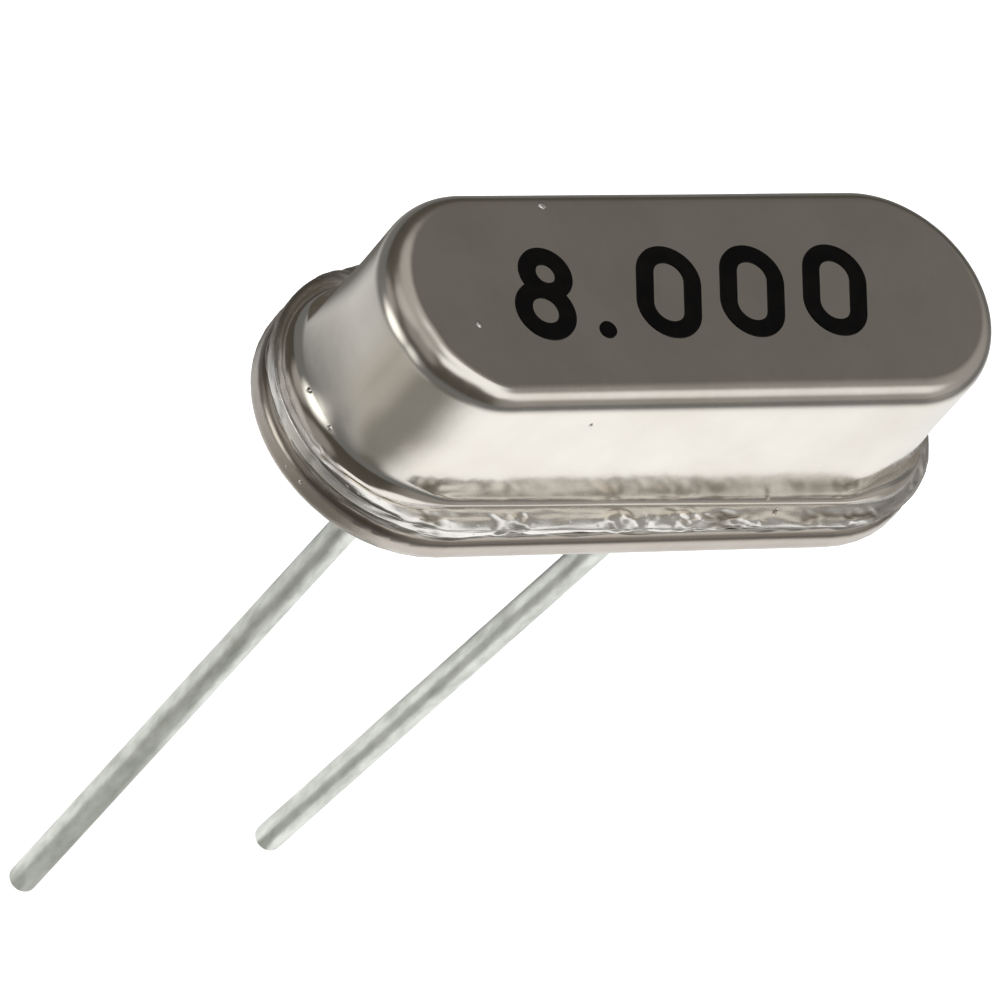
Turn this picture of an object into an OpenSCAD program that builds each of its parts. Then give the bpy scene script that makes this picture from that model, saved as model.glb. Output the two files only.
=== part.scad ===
// Low-profile two-lead quartz crystal unit in a resistance-welded metal can.
// Frame: origin on the seating plane midway between the leads, +X along the can, +Z out of the can's top.
// All sizes are in millimetres.

/* [Can] */
// Outside length of the drawn wall
can_length = 9.9; // [9.4:0.1:10.6]
// Outside width of the drawn wall
can_width = 3.47; // [3.3:0.01:4]
// Height of the can's top above the seating plane
overall_height = 3.45; // [3.3:0.05:4.2]
// Sheet thickness of the drawn can
can_sheet = 0.25; // [0.15:0.01:0.3]
// Outside radius round the top edge
top_edge_radius = 0.3; // [0.2:0.01:0.45]
// Fillet outside, between the wall and the can's flange
foot_radius = 0.05; // [0.03:0.01:0.12]
// Rounding inside, where the sheet turns out into the flange
mouth_radius = 0.15; // [0.05:0.01:0.25]

/* [Flanges and weld] */
// How far both flanges stand out past the can wall
flange_overhang = 0.43; // [0.36:0.01:0.5]
// Thickness of the can's flange
can_flange_thickness = 0.24; // [0.2:0.01:0.4]
// Outer top edge radius of the can's flange
can_flange_radius = 0.12; // [0.05:0.01:0.2]
// Thickness of the header's flange
header_flange_thickness = 0.54; // [0.4:0.01:0.65]
// Radius of the header's lower outer edge
header_edge_radius = 0.2; // [0.05:0.01:0.25]
// Radius of the header's upper outer edge, in the groove
header_shoulder_radius = 0.2; // [0.1:0.01:0.25]
// Height of the fused layer between the flanges
weld_gap = 0.08; // [0.03:0.01:0.1]
// Radius of the can flange's lower outer edge, in the groove
groove_radius = 0.07; // [0.03:0.01:0.1]
// Radius of the flash that the weld squeezed out into the groove
weld_flash_radius = 0.06; // [0.04:0.01:0.08]
// How far the flash stays behind the flanges' outer edge
weld_flash_inset = 0.05; // [0.02:0.01:0.1]

/* [Header] */
// How far the header's platform stands above its flange, inside the can
platform_rise = 0.42; // [0.3:0.01:0.5]
// Sheet thickness of the platform and of the wall round its recess
header_sheet = 0.5; // [0.35:0.01:0.6]
// Rounding of the platform's edge and of the recess under it
platform_edge_radius = 0.08; // [0.03:0.01:0.15]
// Clearance between the platform and the inside of the can
platform_clearance = 0.06; // [0.03:0.01:0.12]
// Diameter of each glass-filled eyelet
eyelet_diameter = 1.4; // [1.1:0.05:1.6]
// How far the glass creeps up and down the lead past the platform
glass_creep = 0.07; // [0.02:0.01:0.12]
// How far the creeping glass reaches out from the lead
glass_creep_reach = 0.2; // [0.1:0.01:0.25]

/* [Leads] */
// Distance between the leads' axes at the seating plane
lead_pitch = 4.88; // [4.7:0.02:5.1]
// Diameter of each lead
lead_diameter = 0.43; // [0.38:0.01:0.5]
// Length of each lead below the seating plane
lead_length = 13; // [4:0.1:14]
// Straight stretch of each lead before it leans
lead_root = 1; // [0.5:0.1:2]
// How much the wire swells at the elbow where it starts to lean
elbow_swell = 0.01; // [0.01:0.005:0.03]
// How far the left lead leans out of upright
left_lean_angle = 1.4; // [0.5:0.1:8]
// Compass direction that the left lead leans in, from +X towards +Y
left_lean_heading = 90; // [0:1:359]
// How far the right lead leans out of upright
right_lean_angle = 4.5; // [0.5:0.1:8]
// Compass direction that the right lead leans in, from +X towards +Y
right_lean_heading = 123; // [0:1:359]
// Rounding of the cropped lead tips
tip_radius = 0.1; // [0.03:0.01:0.15]
// Diameter of the nail head on which a clip is welded
nail_head_diameter = 0.8; // [0.6:0.05:1]
// Thickness of the nail head
nail_head_thickness = 0.12; // [0.08:0.01:0.2]
// Bare lead between the glass and the nail head
nail_head_clearance = 0.09; // [0.05:0.01:0.3]

/* [Resonator] */
// Width of the quartz blank
blank_width = 1.8; // [1.4:0.1:2]
// Thickness of the quartz blank, about 1.66 mm divided by its frequency in megahertz
blank_thickness = 0.21; // [0.08:0.01:0.42]
// Thickness that the bevels leave at the blank's ends, as a share of its thickness
blank_end_share = 0.6; // [0.4:0.05:0.9]
// Length of each end that is bevelled
blank_bevel = 0.6; // [0.3:0.1:1]
// Length of the electrode pads on the blank
electrode_length = 4.2; // [3:0.1:4.8]
// Width of the electrode pads
electrode_width = 1.3; // [0.8:0.1:1.4]
// Width of the track from each pad to the blank's end
electrode_track = 0.6; // [0.3:0.1:0.8]
// Thickness of the electrode films
electrode_film = 0.02; // [0.01:0.005:0.03]

/* [Clips and adhesive] */
// Sheet thickness of the spring clips
clip_sheet = 0.12; // [0.08:0.01:0.15]
// Width of the spring clips
clip_width = 1; // [0.7:0.1:1.2]
// Length of the clip's foot past the nail head
clip_foot_overhang = 0.2; // [0.1:0.02:0.3]
// Height of the clip's shelf above its foot
clip_rise = 0.44; // [0.3:0.02:0.6]
// Bend radius in the middle of the clip's sheet
clip_bend = 0.14; // [0.1:0.01:0.2]
// Adhesive layer between the shelf and the blank
adhesive_layer = 0.05; // [0.04:0.01:0.08]
// Radius of each drop of conductive adhesive
adhesive_radius = 0.5; // [0.42:0.01:0.6]
// Clearance between the clips' end stops and the inside of the can's ends
clip_end_clearance = 0.46; // [0.3:0.02:0.8]
// Clearance between the blank's ends and the clips' end stops
stop_clearance = 0.12; // [0.05:0.01:0.15]
// Height of the clips' end stops above their shelves
stop_height = 0.3; // [0.2:0.02:0.5]

/* [Marking] */
// Height of the printed numerals
numeral_height = 1.5; // [1.2:0.05:1.8]
// Width of each printed numeral
numeral_width = 1; // [0.8:0.02:1.1]
// Slant of the numerals to the right
numeral_slant = 19; // [0:1:25]
// Width of the printed strokes
stroke_width = 0.26; // [0.15:0.01:0.3]
// Space between neighbouring numerals
numeral_gap = 0.38; // [0.2:0.01:0.45]
// How far the numerals are printed off the middle of the can, along it
marking_shift = -0.12; // [-0.5:0.02:0.5]
// Thickness of the ink
ink_thickness = 0.015; // [0.01:0.005:0.03]

/* [Hidden] */
$fn = 64;

// Reach of a cutting tool past the solid that it cuts
over = 0.1;
// Smallest radius inside the can's top edge
least_inside_edge = 0.05;
LEFT = -1;
RIGHT = 1;

// Stadium outline: the straight stretch is shared by the can, both flanges and the header
end_radius = can_width / 2;
straight = can_length - can_width;
flange_radius = end_radius + flange_overhang;
inside_radius = end_radius - can_sheet;
inside_edge_radius = max(top_edge_radius - can_sheet, least_inside_edge);
can_flange_round = min(can_flange_radius, can_flange_thickness - groove_radius);
header_edge_round = min(header_edge_radius, header_flange_thickness - header_shoulder_radius);

// Levels above the seating plane
can_flange_base = header_flange_thickness + weld_gap;
can_flange_top = can_flange_base + can_flange_thickness;
platform_top = header_flange_thickness + platform_rise;
platform_base = platform_top - header_sheet;
platform_radius = inside_radius - platform_clearance;
recess_radius = platform_radius - header_sheet;

lead_radius = lead_diameter / 2;
// How far from the elbow's middle both stretches of wire end, inside the ball
elbow_inset = 0.03;
eyelet_radius = eyelet_diameter / 2;
nail_head_base = platform_top + glass_creep + nail_head_clearance;
nail_head_top = nail_head_base + nail_head_thickness;
meniscus_radius = lead_radius + glass_creep_reach;

// Clip stations, measured outwards from the middle of the can
clip_foot_middle = nail_head_top + clip_sheet / 2;
clip_shelf_middle = clip_foot_middle + clip_rise;
clip_shelf_top = clip_shelf_middle + clip_sheet / 2;
clip_foot_start = lead_pitch / 2 - nail_head_diameter / 2;
clip_riser_x = lead_pitch / 2 + nail_head_diameter / 2 + clip_foot_overhang;
clip_stop_x = can_length / 2 - can_sheet - clip_end_clearance - clip_sheet / 2;
// The riser leans outwards, tangent to the bends at its foot and at its top
clip_riser_lean = 30;
clip_shelf_start = clip_riser_x - clip_bend + 2 * clip_bend * cos(clip_riser_lean)
    + (clip_rise - 2 * clip_bend + 2 * clip_bend * sin(clip_riser_lean)) * tan(clip_riser_lean);

// The blank fits between the end stops
blank_length = 2 * (clip_stop_x - clip_sheet / 2 - stop_clearance);
blank_base = clip_shelf_top + adhesive_layer;
blank_top = blank_base + blank_thickness;
adhesive_x = (clip_shelf_start + clip_stop_x - clip_sheet / 2) / 2;
adhesive_z = clip_shelf_top + adhesive_layer / 2;

noughts = 3;
point_pitch = stroke_width + numeral_gap;
marking_length = (noughts + 1) * numeral_width + noughts * numeral_gap + point_pitch;
// Share of the eight's height that its lower ring takes
lower_ring_share = 0.53;

// Sweeps a half profile, drawn as radius against height, round the stadium outline.
module stadium_sweep() {
    for (side = [LEFT, RIGHT])
        translate([side * straight / 2, 0, 0])
            rotate([0, 0, -90 * side])
                rotate_extrude(angle = 180) children();
    rotate([90, 0, 90])
        linear_extrude(straight, center = true) {
            children();
            mirror([1, 0]) children();
        }
}

// Rectangle from the axis out to a radius, with its outer corners rounded at the top and at the base.
module slab_profile(radius, base, top, top_round, base_round) {
    difference() {
        translate([0, base]) square([radius, top - base]);
        if (top_round > 0)
            translate([radius - top_round, top - top_round]) corner_cut(top_round, 1);
        if (base_round > 0)
            translate([radius - base_round, base + base_round]) corner_cut(base_round, -1);
    }
}

// What a round of this radius takes off an outer corner; up is 1 for a top corner and -1 for a lower one.
module corner_cut(radius, up) {
    difference() {
        translate([0, up > 0 ? 0 : -radius - over]) square([radius + over, radius + over]);
        circle(radius);
    }
}

// Fillet of this radius, drawn in the corner between a wall on its left and a ledge below it.
module corner_fillet(radius) {
    difference() {
        square(radius);
        translate([radius, radius]) circle(radius);
    }
}

module can_outer_profile() {
    slab_profile(end_radius, can_flange_base, overall_height, top_edge_radius, 0);
    slab_profile(flange_radius, can_flange_base, can_flange_top, can_flange_round, groove_radius);
    translate([end_radius, can_flange_top]) corner_fillet(foot_radius);
}

module can_inner_profile() {
    slab_profile(inside_radius, can_flange_base - over, overall_height - can_sheet, inside_edge_radius, 0);
    translate([inside_radius, can_flange_base]) corner_fillet(mouth_radius);
}

module can_profile() {
    difference() {
        can_outer_profile();
        can_inner_profile();
    }
}

module header_profile() {
    difference() {
        union() {
            slab_profile(
                flange_radius, 0, header_flange_thickness, header_shoulder_radius, header_edge_round
            );
            slab_profile(platform_radius, 0, platform_top, platform_edge_radius, 0);
        }
        slab_profile(recess_radius, -over, platform_base, platform_edge_radius, 0);
    }
}

// The drawn nickel-plated can: top, wall and flange from one sheet.
module can() {
    color("#b9b5ad") stadium_sweep() can_profile();
}

// The stamped header: flange, raised platform and the two eyelets that the glass fills.
module header() {
    color("#aaa69e")
        difference() {
            stadium_sweep() header_profile();
            for (side = [LEFT, RIGHT])
                translate([side * lead_pitch / 2, 0, platform_base - over])
                    cylinder(h = header_sheet + 2 * over, r = eyelet_radius);
        }
}

// The fused ring that joins the flanges, with the flash in the groove between their edges.
module weld_bead() {
    color("#8f8b84")
        stadium_sweep()
            difference() {
                union() {
                    translate([end_radius, header_flange_thickness - weld_flash_radius])
                        square([
                            flange_overhang - weld_flash_radius - weld_flash_inset,
                            weld_gap + weld_flash_radius
                        ]);
                    translate([
                        flange_radius - weld_flash_radius - weld_flash_inset,
                        header_flange_thickness + weld_gap / 2
                    ]) circle(weld_flash_radius);
                }
                can_profile();
                header_profile();
            }
}

// Glass bead that seals one lead into its eyelet.
module glass_seal(side) {
    color("#3f5a52")
        translate([side * lead_pitch / 2, 0, 0])
            rotate_extrude()
                polygon([
                    [lead_radius, platform_base - glass_creep],
                    [meniscus_radius, platform_base],
                    [eyelet_radius, platform_base],
                    [eyelet_radius, platform_top],
                    [meniscus_radius, platform_top],
                    [lead_radius, platform_top + glass_creep]
                ]);
}

// One lead: nail head, straight root through the glass, and the free stretch that leans from the elbow.
// The elbow is a ball a little fatter than the wire, and both stretches end just inside it.
module lead(side, lean, heading) {
    root_length = nail_head_base + lead_root - elbow_inset;
    free_length = lead_length - lead_root - elbow_inset;
    color("#c4c4bf")
        translate([side * lead_pitch / 2, 0, 0]) {
            translate([0, 0, nail_head_base])
                cylinder(h = nail_head_thickness, d = nail_head_diameter);
            translate([0, 0, nail_head_base - root_length])
                cylinder(h = root_length, r = lead_radius);
            translate([0, 0, -lead_root]) {
                sphere(lead_radius + elbow_swell);
                rotate([0, -lean, heading])
                    translate([0, 0, -elbow_inset - free_length])
                        rotate_extrude() slab_profile(lead_radius, 0, free_length, 0, tip_radius);
            }
        }
}

// Points along an arc in the plane, from one angle to another.
function arc(centre, radius, from, to, steps = 8) =
    [for (i = [0:steps]) let (a = from + (to - from) * i / steps) centre + radius * [cos(a), sin(a)]];

// One side of the clip's strip, offset from the middle of its sheet, from the foot out to the end stop.
function clip_side(offset) =
    let (
        foot_bend = [clip_riser_x - clip_bend, clip_foot_middle + clip_bend],
        shelf_bend = [clip_shelf_start, clip_shelf_middle - clip_bend],
        stop_bend = [clip_stop_x - clip_bend, clip_shelf_middle + clip_bend]
    )
    concat(
        [[clip_foot_start, clip_foot_middle + offset]],
        arc(foot_bend, clip_bend - offset, -90, -clip_riser_lean),
        arc(shelf_bend, clip_bend + offset, 180 - clip_riser_lean, 90),
        arc(stop_bend, clip_bend - offset, -90, 0),
        [[clip_stop_x - offset, clip_shelf_top + stop_height]]
    );

// Spring clip: foot on the nail head, leaning riser, shelf under the blank and an upturned end stop.
module clip(side) {
    upper = clip_side(clip_sheet / 2);
    lower = clip_side(-clip_sheet / 2);
    color("#c9b98e")
        mirror([side == LEFT ? 1 : 0, 0, 0])
            rotate([90, 0, 0])
                linear_extrude(clip_width, center = true)
                    polygon(concat(upper, [for (i = [len(lower) - 1:-1:0]) lower[i]]));
}

// AT-cut strip of quartz with both ends bevelled on both faces.
module quartz_blank() {
    middle = (blank_base + blank_top) / 2;
    half = blank_length / 2;
    end_half = blank_end_share * blank_thickness / 2;
    color("#dfe6ea")
        rotate([90, 0, 0])
            linear_extrude(blank_width, center = true)
                polygon([
                    [-half, middle - end_half],
                    [-half + blank_bevel, blank_base],
                    [half - blank_bevel, blank_base],
                    [half, middle - end_half],
                    [half, middle + end_half],
                    [half - blank_bevel, blank_top],
                    [-half + blank_bevel, blank_top],
                    [-half, middle + end_half]
                ]);
}

// Metal film on one face of the blank: a pad and the track that runs to one end.
module electrode(side, base) {
    color("#e3e1da")
        translate([0, 0, base]) {
            translate([-electrode_length / 2, -electrode_width / 2, 0])
                cube([electrode_length, electrode_width, electrode_film]);
            mirror([side == LEFT ? 1 : 0, 0, 0])
                translate([0, -electrode_track / 2, 0])
                    cube([blank_length / 2 - blank_bevel, electrode_track, electrode_film]);
        }
}

module upper_electrode() electrode(LEFT, blank_top);

module lower_electrode() electrode(RIGHT, blank_base - electrode_film);

// Drop of silver-filled adhesive that bonds one end of the blank to its clip.
module adhesive(side) {
    inner_limit = clip_stop_x - clip_sheet / 2;
    color("#9a9a98")
        difference() {
            intersection() {
                translate([side * adhesive_x, 0, adhesive_z]) sphere(adhesive_radius);
                translate([-inner_limit, -blank_width / 2, clip_shelf_top])
                    cube([2 * inner_limit, blank_width, 4 * adhesive_radius]);
            }
            quartz_blank();
            upper_electrode();
            lower_electrode();
            clip(side);
        }
}

// Upright bar with round ends, centred.
module pill(width, height) {
    square([width, height - width], center = true);
    for (up = [-1, 1]) translate([0, up * (height - width) / 2]) circle(d = width);
}

// Leans a numeral to the right about its own middle.
module slanted() {
    rotate(-numeral_slant) children();
}

module nought() {
    difference() {
        pill(numeral_width, numeral_height);
        pill(numeral_width - 2 * stroke_width, numeral_height - 2 * stroke_width);
    }
}

module ring(diameter) {
    difference() {
        circle(d = diameter);
        circle(d = diameter - 2 * stroke_width);
    }
}

// Figure eight from two rings that share a stroke at the waist.
module eight() {
    lower = lower_ring_share * (numeral_height + stroke_width);
    upper = numeral_height + stroke_width - lower;
    translate([0, (lower - numeral_height) / 2]) ring(lower);
    translate([0, (numeral_height - upper) / 2]) ring(upper);
}

// Plain numerals printed on the can's top: an eight, a point and noughts.
module printed_numerals() {
    step = numeral_width + numeral_gap;
    first = marking_shift - (marking_length - numeral_width) / 2;
    color("#15120f")
        translate([0, 0, overall_height])
            linear_extrude(ink_thickness) {
                translate([first, 0]) slanted() eight();
                translate([first + (step + point_pitch) / 2, 0])
                    slanted() translate([0, (stroke_width - numeral_height) / 2]) circle(d = stroke_width);
                for (i = [1:noughts]) translate([first + point_pitch + i * step, 0]) slanted() nought();
            }
}

can();
header();
weld_bead();
glass_seal(LEFT);  // left_glass_seal
glass_seal(RIGHT);  // right_glass_seal
lead(LEFT, left_lean_angle, left_lean_heading);  // left_lead
lead(RIGHT, right_lean_angle, right_lean_heading);  // right_lead
clip(LEFT);  // left_clip
clip(RIGHT);  // right_clip
quartz_blank();
upper_electrode();
lower_electrode();
adhesive(LEFT);  // left_adhesive
adhesive(RIGHT);  // right_adhesive
printed_numerals();
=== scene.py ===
"""Low-profile two-lead quartz crystal unit, dressed for a close-up on a pale sheet.

Everything is in metres in the part's own frame; sizes written in millimetres are turned by MM.
"""

import math

import bmesh
import bpy
from bpy.props import FloatProperty, FloatVectorProperty, PointerProperty
from mathutils import Matrix, Quaternion, Vector, noise


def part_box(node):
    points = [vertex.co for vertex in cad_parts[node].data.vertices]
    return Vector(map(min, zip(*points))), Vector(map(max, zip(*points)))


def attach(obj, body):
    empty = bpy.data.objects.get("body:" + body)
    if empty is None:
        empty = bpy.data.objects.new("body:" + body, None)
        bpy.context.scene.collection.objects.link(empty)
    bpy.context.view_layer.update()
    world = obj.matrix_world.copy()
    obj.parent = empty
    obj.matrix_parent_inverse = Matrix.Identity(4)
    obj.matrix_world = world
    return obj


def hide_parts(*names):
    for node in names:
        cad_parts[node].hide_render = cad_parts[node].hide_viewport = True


bl_info = {
    "name": "Crystal unit dresser",
    "version": (1, 0, 0),
    "blender": (4, 5, 0),
    "location": "View3D > Sidebar > Crystal",
    "description": "Dresses a welded-can quartz crystal unit and sets its close-up stage",
    "category": "Object",
}

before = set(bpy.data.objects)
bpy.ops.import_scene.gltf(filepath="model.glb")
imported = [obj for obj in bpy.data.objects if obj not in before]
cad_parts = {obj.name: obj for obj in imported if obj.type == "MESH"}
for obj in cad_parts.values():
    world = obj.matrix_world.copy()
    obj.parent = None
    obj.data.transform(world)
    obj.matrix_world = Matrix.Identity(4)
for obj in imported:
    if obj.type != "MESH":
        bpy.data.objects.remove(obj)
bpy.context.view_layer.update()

MM = 0.001
TAU = 2 * math.pi
HALF_TURN = math.pi

CAN_LOW, CAN_HIGH = (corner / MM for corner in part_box("can"))
LEAD_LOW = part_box("left_lead")[0] / MM

# Outline that the can, the weld and both flanges share
FLANGE_RADIUS = CAN_HIGH.y
STRAIGHT = 2 * (CAN_HIGH.x - CAN_HIGH.y)

# Stations round each end of that outline and along each side
END_STEPS, SIDE_STEPS = 190, 230

# Points closer than this are one, in millimetres; rim marks are looked up by places so rounded
MERGE = 1e-4
MARK_DIGITS = 4

# Stretch of the can, along x in millimetres, over which the flange's level falls
FALL_START, FALL_END = -3.2, 4.0

# Degrees that the fillet at the foot of the wall turns by along the sides, and more at the ends
FOOT_TURN, END_TURN = 50, 22

# Spots round and along each bead of spatter
BEAD_SIDES, BEAD_RINGS = 16, 9


def linear(colour):
    """Turns an sRGB hex colour, such as #c0c0c0, into linear red, green and blue."""
    channels = [int(colour[i : i + 2], 16) / 255 for i in (1, 3, 5)]
    return tuple(
        c / 12.92 if c <= 0.04045 else ((c + 0.055) / 1.055) ** 2.4 for c in channels
    )


def hue(name, colour, description):
    """A colour setting, whose default is an sRGB hex colour."""
    return FloatVectorProperty(
        name=name,
        description=description,
        subtype="COLOR",
        size=3,
        min=0,
        max=1,
        default=linear(colour),
    )


def size(name, millimetres, description):
    """A length setting, whose default is given in millimetres."""
    return FloatProperty(
        name=name,
        description=description,
        subtype="DISTANCE",
        unit="LENGTH",
        precision=5,
        default=millimetres * MM,
    )


def share(name, value, description):
    """A setting between 0 and 1."""
    return FloatProperty(
        name=name,
        description=description,
        subtype="FACTOR",
        min=0,
        max=1,
        default=value,
    )


# ---------------------------------------------------------------- settings


class CanSettings(bpy.types.PropertyGroup):
    """Sizes and finishes of the drawn can and of the stamped header"""

    sheet: size("Sheet", 0.25, "Thickness of the can's sheet")
    overhang: size("Flange overhang", 0.43, "How far the flange passes the wall")
    top_edge: size("Top edge", 0.3, "Outside radius round the can's top")
    left_edge: size("Left edge", 0.38, "The same radius at the fuller left end")
    edge_drop: size("Edge drop", 0.34, "How far down the wall the top's rounding reaches")
    left_drop: size("Left drop", 0.43, "The same reach at the fuller left end")
    shoulder: size("Shoulder", 0.065, "How far the front left corner bulges out")
    flare: size("Flare", 0.19, "How far the ends of the wall spread toward the flange")
    flare_height: size("Flare height", 1.5, "How high above the flange the spread begins")
    foot: size("Foot", 0.2, "Fillet at the foot of the wall, along the sides")
    end_foot: size("End foot", 0.3, "The same fillet round the ends")
    toe: size("Toe", 0.8, "Level where the fillet meets the flange, in the middle of the can")
    toe_fall: FloatProperty(
        name="Toe fall",
        description="How much lower the flange lies for each unit of length to the right",
        default=0.028,
    )
    dish: size("Dish", 0.014, "How much higher the flange's rim is than its toe")
    flange_edge: size("Flange edge", 0.13, "Radius of the flange's upper edge")
    groove_edge: size("Groove edge", 0.05, "Radius of the flange's lower edge")
    mouth: size("Mouth", 0.15, "Rounding where the sheet turns out, inside")
    waviness: size("Waviness", 0.004, "Depth of the drawn wall's faint waves")
    wave_length: size("Wave length", 2.2, "Distance between the faint waves")
    plate: hue("Plate", "#f0ebe2", "Bright nickel plate on the can")
    plate_stain: hue("Plate stain", "#e6e0d6", "Duller patches in the plate")
    gloss: share("Roughness", 0.13, "Roughness of the bright plate")
    header_plate: hue("Header plate", "#c8c1b9", "Satin nickel plate on the header")
    header_stain: hue("Header stain", "#b5aea5", "Duller patches on the header")
    header_soot: hue("Header soot", "#c6bdb3", "Brown heat stain on the header by the weld")
    header_gloss: share("Header roughness", 0.24, "Roughness of the header's plate")


class WeldSettings(bpy.types.PropertyGroup):
    """Sizes and finish of the rim that the weld melted"""

    melt_start: size("Melt start", 0.2, "Where the melted rim starts, past the wall")
    crinkle: size("Crinkle", 0.075, "Depth of the crinkles in the melted rim")
    crinkle_width: size("Crinkle width", 0.095, "Distance between crinkles, across")
    crinkle_stretch: FloatProperty(
        name="Crinkle stretch",
        description="How much longer the crinkles run along the rim",
        default=3.6,
        min=1,
    )
    flash_middle: size("Flash middle", 0.58, "Level of the flash in the groove")
    flash: hue("Flash", "#f2efea", "Fused metal of the rim and the flash")
    # This colour is also the painted shade on the flange at the rear left
    soot_and_shade: hue("Soot", "#a39c90", "Heat-stained metal down in the creases")
    gloss: share("Roughness", 0.24, "Roughness of the fused metal")


class LeadSettings(bpy.types.PropertyGroup):
    """Finish of both wire leads"""

    tin: hue("Tin", "#e4e6e0", "Dip-tinned wire")
    tin_shade: hue("Tin shade", "#c2c5bd", "Duller streaks along the wire")
    gloss: share("Roughness", 0.3, "Roughness of the tin")


class MarkingSettings(bpy.types.PropertyGroup):
    """Ink of the numerals"""

    ink: hue("Ink", "#060505", "Marking ink")
    ink_thin: hue("Thin ink", "#0f0d0c", "Ink where it lies thinner")


class InsideSettings(bpy.types.PropertyGroup):
    """Colours of what the can holds"""

    glass: hue("Glass", "#2f4a40", "Sealing glass round each lead")
    clip: hue("Clip", "#c9b98e", "Nickel silver of the spring clips")
    clip_shade: hue("Clip shade", "#ad9f7c", "Duller patches on the clips")
    quartz: hue("Quartz", "#eef3f5", "Lapped quartz")
    silver: hue("Silver", "#f0eee8", "Evaporated silver film")
    silver_shade: hue("Silver shade", "#d8d5cc", "Duller patches on the film")
    adhesive: hue("Adhesive", "#9a9a98", "Silver-filled adhesive")
    adhesive_shade: hue("Adhesive shade", "#7f7f7e", "Darker grains in the adhesive")


class StageSettings(bpy.types.PropertyGroup):
    """Camera, paper, cards and light"""

    azimuth: FloatProperty(
        name="Azimuth",
        description="Where the camera stands round the part; 0 looks along +Y",
        subtype="ANGLE",
        default=math.radians(-52.15276),
    )
    elevation: FloatProperty(
        name="Elevation",
        description="How high the camera stands above the horizon",
        subtype="ANGLE",
        default=math.radians(45.88018),
    )
    roll: FloatProperty(
        name="Roll",
        description="How far the camera is rolled about its own axis",
        subtype="ANGLE",
        default=math.radians(-41.36359),
    )
    distance: size("Distance", 168.96988, "Distance from the camera to its aim")
    aim: FloatVectorProperty(
        name="Aim",
        description="Point that the middle of the view looks at",
        subtype="TRANSLATION",
        unit="LENGTH",
        precision=5,
        default=(-0.96312 * MM, -0.55007 * MM, -1.06489 * MM),
    )
    lens: FloatProperty(
        name="Lens", description="Focal length, in millimetres", default=438.3684
    )
    paper: hue("Paper", "#f4f4f4", "Sheet of paper that the part stands on")
    glow: FloatProperty(
        name="Glow",
        description="How brightly the paper shows by itself, where 1 is white",
        default=0.84,
    )
    # Gleam, gloom and the pool paint a pool of light on the paper that only the metal sees
    gleam: FloatProperty(
        name="Gleam",
        description="How brightly the metal sees the paper where the lamp's pool lies on it",
        default=1.06,
    )
    gloom: FloatProperty(
        name="Gloom",
        description="How brightly the metal sees the paper beyond the pool",
        default=0.16,
    )
    pool: FloatVectorProperty(
        name="Pool",
        description="Middle of the lamp's pool of light on the paper",
        subtype="TRANSLATION",
        unit="LENGTH",
        precision=5,
        default=(5 * MM, -7 * MM, 0.0),
    )
    pool_core: size("Pool core", 6, "How far the pool of light stays even")
    pool_reach: size("Pool reach", 46, "Where the pool of light has faded out")
    room: hue("Room", "#49453f", "Dim room round the stage, near the horizon")
    ceiling: hue("Ceiling", "#55504b", "Dim room overhead")
    # The cards are painted reflections that only the metal sees; the darker ones are painted shade
    # on the paper
    dark_card: hue("Dark card", "#8a8883", "Card that darkens the part's front left corner")
    far_card: hue("Far card", "#6c6a65", "Darker card beyond that one")
    left_card: hue("Left card", "#b8b6b0", "Paler card at the part's left")
    wire_card: hue("Wire card", "#bdbeba", "Card in front of each wire lead")
    back_card: hue("Back card", "#6c6a66", "Card behind the part")
    right_card: hue("Right card", "#a5a39d", "Card far out to the part's front right")
    left_strip: hue("Left strip", "#fffffb", "Bright card that stands at the part's left")
    lamp: FloatProperty(
        name="Lamp", description="How brightly the soft lamp overhead shines", default=1.6
    )


# What the metal sees of the room: direction, half-angles where each soft patch starts and has
# ended, and how bright it is, where 1 is white
ROOM_PATCHES = (
    ((0.55, 0.43, 0.71), 12, 34, 0.138),
    ((0.60, -0.75, 0.20), 15, 50, 0.27),
    ((0.88, -0.10, 0.47), 15, 40, 0.32),
    ((0.77, -0.62, 0.10), 6, 20, 0.40),
    ((-0.57, 0.32, 0.75), 8, 28, 0.52),
    ((-0.84, -0.08, 0.53), 6, 20, 0.28),
    ((-0.85, 0.52, 0.08), 6, 22, 0.35),
    ((0.02, 0.43, 0.90), 14, 32, 0.42),
    ((0.55, -0.56, 0.62), 5, 22, 0.88),
    ((0.19, 0.02, 0.98), 9, 21, 1.05),
    ((-0.28, -0.26, 0.92), 6, 20, 1.05),
    ((0.15, -0.30, 0.94), 12, 21, 1.05),
    ((0.18, -0.58, 0.79), 12, 22, 1.0),
)

# Beads that the weld threw on the part: x, y and z, then half their width and height, all in mm
BEADS = (
    (-5.08, -0.05, 1.12, 0.045, 0.04),
    (-4.96, -0.65, 1.12, 0.045, 0.04),
    (-5.315, -0.04, 0.25, 0.045, 0.05),
    (-5.21, -0.72, 0.27, 0.045, 0.04),
    (-5.18, -0.79, 0.28, 0.04, 0.035),
    (-5.10, -0.98, 0.30, 0.045, 0.045),
    (-2.07, -1.705, 2.84, 0.045, 0.05),
    (-2.05, 1.42, 3.445, 0.06, 0.012),
    (-3.76, -0.47, 3.445, 0.05, 0.014),
    (2.13, -1.90, 0.765, 0.035, 0.03),
)

# Where the bright plate is duller: each zone is the product of two ramps, and each ramp gives an
# axis, the places in millimetres where it starts and ends, and its values there
DULL_ZONES = (
    # Just above the flange along the straight sides, from the weld's heat
    (("X", 2.6, 3.6, 0.65, 0.0), ("Z", 1.1, 1.7, 1.0, 0.0)),
    # The rounded top edge, from the punch
    (("Z", 3.0, 3.2, 0.0, 0.7), ("Z", 3.425, 3.449, 1.0, 0.0)),
)

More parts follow.
